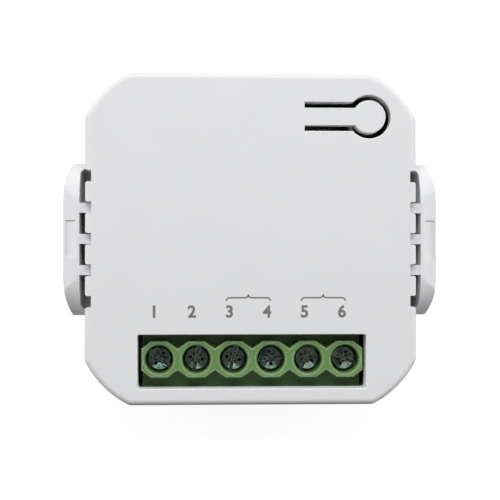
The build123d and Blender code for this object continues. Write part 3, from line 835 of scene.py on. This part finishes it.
class MODULE_OT_button(bpy.types.Operator):
    """Builds the tongue with its round head, cut across near its root, where the real tongue flexes"""

    bl_idname = "module.button"
    bl_label = "Button"

    # The share of the tongue's length that bends, and the cuts across it
    bend_share = 0.28
    cut_share = 0.0145
    cut_count = 24

    def execute(self, context):
        sizes = context.scene.module_button
        head_x = hinge_x + sizes.arm_length
        bm = bmesh.new()
        outline = self.outline(sizes, head_x)
        self.tongue(bm, outline, sizes)
        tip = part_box("push_button")[0].z
        under = face_z - sizes.head_wall
        post = [(0, tip)]
        post += [
            (sizes.post_radius * math.sin(a), tip + sizes.post_radius * (1 - math.cos(a)))
            for a in (math.radians(step) for step in range(15, 91, 15))
        ]
        post += [(sizes.post_radius, under), (sizes.head_radius, under)]
        post += [(sizes.head_radius, face_z - sizes.arm_wall), (0, face_z - sizes.arm_wall)]
        lathe(bm, post, (head_x, hinge_y))
        mesh = from_bmesh("button_tongue", bm, 40)
        level_faces_flat(mesh)
        tongue = bpy.data.objects.new("button_tongue", mesh)
        context.scene.collection.objects.link(tongue)
        wear_finish(tongue, "casing_plastic")
        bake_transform(tongue)
        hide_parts("push_button")
        return {"FINISHED"}

    def outline(self, sizes, head_x):
        """The keyhole outline, anticlockwise from the root."""
        half, radius = sizes.arm_width / 2, sizes.head_radius
        seat = sizes.root_width / 2
        root = hinge_x - sizes.root_length
        first = math.asin(half / radius)
        points = [(root, -seat), (hinge_x, -seat), (hinge_x, -half)]
        steps = 56
        for step in range(steps + 1):
            angle = -math.pi + first + (2 * math.pi - 2 * first) * step / steps
            points.append((head_x + radius * math.cos(angle), radius * math.sin(angle)))
        points += [(hinge_x, half), (hinge_x, seat), (root, seat)]
        return [(x, hinge_y + y) for x, y in points]

    def tongue(self, bm, outline, sizes):
        """Raises the outline, rounds its upper edges and cuts it across where it bends."""
        low = [bm.verts.new((x, y, face_z - sizes.arm_wall)) for x, y in outline]
        face = bm.faces.new(low)
        raised = bmesh.ops.extrude_face_region(bm, geom=[face], use_keep_orig=True)
        top = [item for item in raised["geom"] if isinstance(item, bmesh.types.BMVert)]
        bmesh.ops.translate(bm, verts=top, vec=(0, 0, sizes.arm_wall))
        near = 1e-7
        rim = [
            edge for edge in bm.edges
            if all(v.co.z > face_z - near and v.co.x > hinge_x - near for v in edge.verts)
            and max(v.co.x for v in edge.verts) > hinge_x + near
        ]
        bmesh.ops.bevel(bm, geom=rim, offset=sizes.edge_round, segments=4, profile=0.5, affect="EDGES")
        for step in range(self.cut_count):
            x = hinge_x - sizes.root_length / 2 + step * sizes.arm_length * self.cut_share
            everything = bm.verts[:] + bm.edges[:] + bm.faces[:]
            bmesh.ops.bisect_plane(bm, geom=everything, plane_co=(x, 0, 0), plane_no=(1, 0, 0))


class MODULE_OT_terminals(bpy.types.Operator):
    """Builds the six clamp screws and dresses the terminal block, cages and contacts"""

    bl_idname = "module.terminals"
    bl_label = "Terminals"

    # How far each screw's slot stands turned from X, in degrees
    turns = (143.0, 78.0, 75.0, 8.0, 60.0, 155.0)

    def execute(self, context):
        sizes = context.scene.module_screw
        cages = [f"clamp_cage_{i + 1}" for i in range(pole_count)]
        finish_slot_nodes(["terminal_housing", "contact_pins", *cages])
        tree = coil_tree()
        for index, place in enumerate(pole_places):
            self.screw(sizes, tree, index, place)
        return {"FINISHED"}

    def screw(self, sizes, tree, index, place):
        name = f"terminal_screw_{index + 1}"
        low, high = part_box(name)
        head_low = high.z - sizes.head_height
        head = self.head(sizes, place, head_low, high.z, self.turns[index])
        ridge = sizes.thread_radius - sizes.core_radius
        length = head_low - low.z - 2 * ridge
        thread = grow(tree, {
            "Radius": sizes.core_radius, "Wire Radius": ridge, "Height": length,
            "Turns": length / sizes.thread_pitch, "Steps": 36, "Sides": 4,
            "Centre": (place.x, place.y, low.z + ridge), "Finish": finish_of("screw_steel"),
        }, "thread")
        bm = bmesh.new()
        bm.from_mesh(head)
        core, core_high = sizes.core_radius, head_low + ridge / 2
        profile = [(0, low.z), (core * 0.8, low.z), (core, low.z + ridge)]
        lathe(bm, [*profile, (core, core_high), (0, core_high)], place, 36)
        bm.from_mesh(thread)
        mesh = from_bmesh(f"clamp_screw_{index + 1}", bm, 35)
        level_faces_flat(mesh)
        bpy.data.meshes.remove(thread)
        bpy.data.meshes.remove(head)
        screw = mesh_object(f"clamp_screw_{index + 1}", mesh, f"screw_{index + 1}")
        wear_finish(screw, "screw_steel")
        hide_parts(name)

    def head(self, sizes, place, low, high, turn):
        """A round, dished head with a full slot, a tapered cross and a pocket, edges broken."""
        radius, dish = sizes.head_radius, sizes.dish_depth
        rim = radius * 0.12
        angles = [math.radians(step) for step in (20, 40, 60, 80)]
        profile = [(0, low), (radius * 0.94, low), (radius, low + rim / 2), (radius, high - rim)]
        profile += [(radius - rim * (1 - math.cos(a)), high - rim * (1 - math.sin(a))) for a in angles]
        dished = ((0.86, 0.0), (0.83, 0.06), (0.35, 0.92), (0.31, 1.0), (0.0, 1.0))
        profile += [(radius * out, high - dish * down) for out, down in dished]
        bm = bmesh.new()
        lathe(bm, profile, place, 64)
        head = bpy.data.objects.new("head", from_bmesh("head", bm))
        make = (self.slot_cutter, self.cross_cutter, self.pocket_cutter)
        cutters = [cutter(sizes, place, high, turn) for cutter in make]
        for obj in (head, *cutters):
            bpy.context.scene.collection.objects.link(obj)
        for cutter in cutters:
            cut = head.modifiers.new("cut", "BOOLEAN")
            cut.operation, cut.object, cut.solver = "DIFFERENCE", cutter, "EXACT"
        ease = head.modifiers.new("ease", "BEVEL")
        ease.width, ease.segments, ease.limit_method = 0.00005, 2, "ANGLE"
        ease.angle_limit = math.radians(38)
        bpy.context.view_layer.update()
        mesh = evaluated_copy(head, "head")
        for obj in (head, *cutters):
            bpy.data.objects.remove(obj)
        return mesh

    def slot_cutter(self, sizes, place, high, turn):
        half = (sizes.head_radius * 1.3, sizes.slot_width / 2)
        bm = bmesh.new()
        bmesh.ops.create_cube(bm, size=2.0)
        for v in bm.verts:
            v.co = Vector((v.co.x * half[0], v.co.y * half[1], v.co.z * sizes.slot_depth))
        return self.placed(bm, "slot", place, high, turn)

    def cross_cutter(self, sizes, place, high, turn):
        """Four arms that narrow towards the bottom."""
        foot_share = 0.55
        wide, long = sizes.slot_width / 2, sizes.cross_length / 2
        corners = []
        for quarter in range(4):
            spin = Matrix.Rotation(quarter * math.pi / 2, 2)
            corners += [spin @ Vector(p) for p in ((wide, -wide), (long, -wide), (long, wide))]
        bm = bmesh.new()
        levels = ((1.0, sizes.slot_depth), (1.0, 0.0), (foot_share, -sizes.cross_depth))
        rings = [[bm.verts.new((*(p * share), height)) for p in corners] for share, height in levels]
        bm.faces.new(rings[0])
        bm.faces.new(list(reversed(rings[-1])))
        for upper, lower in zip(rings, rings[1:]):
            for i in range(len(corners)):
                j = (i + 1) % len(corners)
                bm.faces.new((upper[i], lower[i], lower[j], upper[j]))
        return self.placed(bm, "cross", place, high, turn)

    def pocket_cutter(self, sizes, place, high, turn):
        """A six-sided cone: the pocket's radius at the head's top, and nearly a point below."""
        bm = bmesh.new()
        bmesh.ops.create_cone(
            bm, cap_ends=True, segments=6, depth=sizes.cross_depth * 1.6,
            radius1=sizes.pocket_radius * 0.1, radius2=sizes.pocket_radius * 1.9,
        )
        return self.placed(bm, "pocket", place, high, turn)

    def placed(self, bm, name, place, high, turn):
        spin = Matrix.Rotation(math.radians(turn), 4, "Z")
        move = Matrix.Translation((place.x, place.y, high)) @ spin
        bmesh.ops.transform(bm, matrix=move, verts=bm.verts[:])
        return bpy.data.objects.new(name, from_bmesh(name, bm))


class MODULE_OT_printing(bpy.types.Operator):
    """Prints the plain terminal numbers and the two braces on the face"""

    bl_idname = "module.printing"
    bl_label = "Printing"

    def execute(self, context):
        sizes = context.scene.module_printing
        bm = bmesh.new()
        for index, place in enumerate(pole_places):
            self.number(bm, str(index + 1), place.x + sizes.shift_x, sizes)
        for first in (2, 4):
            low, high = (place.x + sizes.shift_x for place in pole_places[first:first + 2])
            self.brace(bm, low - sizes.brace_reach, high + sizes.brace_reach, sizes)
        bmesh.ops.remove_doubles(bm, verts=bm.verts[:], dist=1e-7)
        mesh = from_bmesh("face_printing", bm)
        printing = mesh_object("face_printing", mesh, "housing")
        wear_finish(printing, "printing_ink")
        return {"FINISHED"}

    def number(self, bm, text, x, sizes):
        size_per_height = 1.4
        curve = bpy.data.curves.new("number", "FONT")
        curve.body = text
        curve.align_x, curve.align_y = "CENTER", "CENTER"
        curve.size = sizes.digit_height * size_per_height
        curve.offset = sizes.boldness
        curve.extrude = sizes.film / 2
        curve.resolution_u = 6
        obj = bpy.data.objects.new("number", curve)
        bpy.context.scene.collection.objects.link(obj)
        bpy.context.view_layer.update()
        mesh = evaluated_copy(obj, "number")
        bpy.data.objects.remove(obj)
        mesh.transform(Matrix.Translation((x, sizes.digit_y, face_z + sizes.film / 2)))
        bm.from_mesh(mesh)
        bpy.data.meshes.remove(mesh)

    def brace(self, bm, low, high, sizes):
        """A flat brace: level arms, rounded ends and a small peak."""
        half, drop = sizes.line_width / 2, sizes.brace_height / 2
        middle, curl = (low + high) / 2, drop
        angles = [math.radians(step) for step in range(15, 91, 15)]
        path = [(low, -drop)]
        path += [(low + curl * (1 - math.cos(a)), -drop + drop * math.sin(a)) for a in angles]
        path += [(middle - curl, 0.0)]
        path += [(middle - curl + curl * math.sin(a), drop * (1 - math.cos(a))) for a in angles]
        mirrored = [(2 * middle - x, y) for x, y in reversed(path[:-1])]
        path += mirrored
        rows = []
        for i, (x, y) in enumerate(path):
            ahead = Vector(path[min(i + 1, len(path) - 1)]) - Vector(path[max(i - 1, 0)])
            side = Vector((-ahead.y, ahead.x)).normalized() * half
            rows.append([
                bm.verts.new((x + s * side.x, sizes.brace_y + y + s * side.y, face_z + h))
                for s, h in ((-1, 0), (1, 0), (1, sizes.film), (-1, sizes.film))
            ])
        for first, second in zip(rows, rows[1:]):
            for i in range(4):
                j = (i + 1) % 4
                bm.faces.new((first[i], first[j], second[j], second[i]))
        bm.faces.new(rows[0])
        bm.faces.new(list(reversed(rows[-1])))


class MODULE_OT_electronics(bpy.types.Operator):
    """Dresses the circuit board's parts, winds the inductor and adds the solder joints"""

    bl_idname = "module.electronics"
    bl_label = "Electronics"

    def execute(self, context):
        sizes = context.scene.module_coil
        dressed = (
            "front_cover", "rear_casing", "push_button", "terminal_housing", "contact_pins",
            "inductor_winding", "terminal_screw", "clamp_cage",
        )
        names = [name for name in nodes if not name.startswith(dressed)]
        finish_slot_nodes(names)
        self.winding(sizes)
        self.solder(sizes)
        return {"FINISHED"}

    def winding(self, sizes):
        low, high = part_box("inductor_winding")
        centre = (low + high) / 2
        outer = (high.x - low.x) / 2
        wire = sizes.wire_radius
        height = high.z - low.z - 2 * wire
        coil = grow(bpy.data.node_groups["wound_wire"], {
            "Radius": outer - wire, "Wire Radius": wire, "Height": height,
            "Turns": height / (2 * wire), "Steps": 40, "Sides": 8,
            "Centre": (centre.x, centre.y, low.z + wire), "Finish": finish_of("copper_wire"),
        }, "coil")
        bm = bmesh.new()
        bm.from_mesh(coil)
        bpy.data.meshes.remove(coil)
        under = outer - wire
        lathe(bm, [(0, low.z), (under, low.z), (under, high.z), (0, high.z)], centre, 40)
        mesh = from_bmesh("copper_winding", bm, 40)
        winding = mesh_object("copper_winding", mesh, "housing")
        wear_finish(winding, "copper_wire")
        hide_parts("inductor_winding")

    def solder(self, sizes):
        first, second = pole_places[0], pole_places[1]
        joints_mesh = grow(solder_tree(), {
            "Count": pole_count,
            "Start": (first.x, first.y + sizes.legs_behind, board_low),
            "Pitch": (second.x - first.x, 0.0, 0.0),
            "Foot Radius": sizes.solder_radius, "Tip Radius": sizes.solder_radius * 0.55,
            "Height": sizes.solder_height, "Finish": finish_of("solder"),
        }, "solder_joints")
        mesh_object("solder_joints", joints_mesh, "housing")


class MODULE_OT_stage(bpy.types.Operator):
    """Sets the camera, the lamps, the sky and the pale floor"""

    bl_idname = "module.stage"
    bl_label = "Stage"

    # Each lamp's name, place, size, power setting, and whether surfaces mirror it
    lamps = (
        ("key_lamp", (0.0, 0.35, 0.47), 0.42, "key", True),
        ("left_lamp", (-0.34, 0.1, 0.09), 0.16, "side", False),
        ("right_lamp", (0.34, 0.1, 0.09), 0.16, "side", False),
        ("rear_lamp", (0.0, 0.0, -0.4), 0.1, "rear", True),
    )

    def execute(self, context):
        sizes = context.scene.module_stage
        self.camera(context.scene, sizes)
        for name, place, size, power, glare in self.lamps:
            self.lamp(name, place, size, getattr(sizes, power), glare)
        self.sky(context.scene, sizes.sky)
        self.floor()
        context.scene.view_settings.view_transform = "Standard"
        return {"FINISHED"}

    def camera(self, scene, sizes):
        data = bpy.data.cameras.new("photo_camera")
        data.lens, data.sensor_width = sizes.lens, 36.0
        data.clip_start, data.clip_end = 0.01, 10.0
        camera = bpy.data.objects.new("photo_camera", data)
        scene.collection.objects.link(camera)
        back = -Vector(sizes.camera_aim).normalized()
        right = Vector((0, 1, 0)).cross(back).normalized()
        turn = Matrix((right, back.cross(right), back)).transposed().to_4x4()
        camera.matrix_world = Matrix.Translation(sizes.camera_place) @ turn
        scene.camera = camera

    def lamp(self, name, place, size, power, glare):
        data = bpy.data.lights.new(name, "AREA")
        data.energy, data.size = power, size
        lamp = bpy.data.objects.new(name, data)
        lamp.visible_glossy = glare
        bpy.context.scene.collection.objects.link(lamp)
        aim = Vector((0.0, 0.0, 0.01)) - Vector(place)
        lamp.location = place
        lamp.rotation_euler = aim.to_track_quat("-Z", "Y").to_euler()

    def sky(self, scene, strength):
        world = bpy.data.worlds.new("even_sky")
        world.use_nodes = True
        scene.world = world
        tree = world.node_tree
        light = tree.nodes["Background"]
        light.inputs["Color"].default_value = (1.0, 1.0, 1.0, 1.0)
        light.inputs["Strength"].default_value = strength
        white = add(tree, "ShaderNodeBackground")
        white.inputs["Color"].default_value = (1.0, 1.0, 1.0, 1.0)
        mix = add(tree, "ShaderNodeMixShader")
        tree.links.new(seen_plainly(tree), mix.inputs["Fac"])
        tree.links.new(light.outputs["Background"], mix.inputs[1])
        tree.links.new(white.outputs["Background"], mix.inputs[2])
        tree.links.new(mix.outputs["Shader"], tree.nodes["World Output"].inputs["Surface"])

    def floor(self):
        """A white card that takes the shadow and is clear from below, so that the rear can be seen."""
        gap = 0.00002
        bm = bmesh.new()
        bmesh.ops.create_grid(bm, x_segments=1, y_segments=1, size=2.0)
        bmesh.ops.translate(bm, verts=bm.verts[:], vec=(0, 0, cad_box[0][2] - gap))
        floor = bpy.data.objects.new("pale_floor", from_bmesh("pale_floor", bm))
        bpy.context.scene.collection.objects.link(floor)
        material, tree, shader = new_finish("floor_card")
        shader.inputs["Base Color"].default_value = (0.25, 0.25, 0.25, 1.0)
        shader.inputs["Roughness"].default_value = 0.9
        shader.inputs["Specular IOR Level"].default_value = 0.1
        glow = add(tree, "ShaderNodeEmission")
        glow.inputs["Color"].default_value = (1.0, 1.0, 1.0, 1.0)
        glow.inputs["Strength"].default_value = 0.9
        both = add(tree, "ShaderNodeAddShader")
        tree.links.new(shader.outputs["BSDF"], both.inputs[0])
        tree.links.new(glow.outputs["Emission"], both.inputs[1])
        backs = add(tree, "ShaderNodeNewGeometry").outputs["Backfacing"]
        shown = math_node(tree, "SUBTRACT", seen_plainly(tree), backs, clamp=True)
        card = add(tree, "ShaderNodeMixShader")
        tree.links.new(shown, card.inputs["Fac"])
        tree.links.new(add(tree, "ShaderNodeBsdfTransparent").outputs["BSDF"], card.inputs[1])
        tree.links.new(both.outputs["Shader"], card.inputs[2])
        tree.links.new(card.outputs["Shader"], tree.nodes["Material Output"].inputs["Surface"])
        floor.data.materials.append(material)


class MODULE_PT_panel(bpy.types.Panel):
    """Lists the module's builders and their settings"""

    bl_label = "Energy monitor module"
    bl_space_type = "VIEW_3D"
    bl_region_type = "UI"
    bl_category = "Module"

    def draw(self, context):
        for operator, setting in zip(OPERATORS, SETTINGS):
            self.layout.operator(operator.bl_idname)
            for key in getattr(context.scene, setting).bl_rna.properties.keys():
                if key not in ("rna_type", "name"):
                    self.layout.prop(getattr(context.scene, setting), key)


OPERATORS = [
    MODULE_OT_casing, MODULE_OT_button, MODULE_OT_terminals,
    MODULE_OT_printing, MODULE_OT_electronics, MODULE_OT_stage,
]


def register():
    for kind in (*SETTINGS.values(), *OPERATORS, MODULE_PT_panel):
        bpy.utils.register_class(kind)
    for name, kind in SETTINGS.items():
        setattr(bpy.types.Scene, name, PointerProperty(type=kind))


def unregister():
    for name in SETTINGS:
        delattr(bpy.types.Scene, name)
    for kind in reversed((*SETTINGS.values(), *OPERATORS, MODULE_PT_panel)):
        bpy.utils.unregister_class(kind)


def main():
    register()
    for operator in OPERATORS:
        group, name = operator.bl_idname.split(".")
        getattr(getattr(bpy.ops, group), name)()


if __name__ == "__main__":
    main()
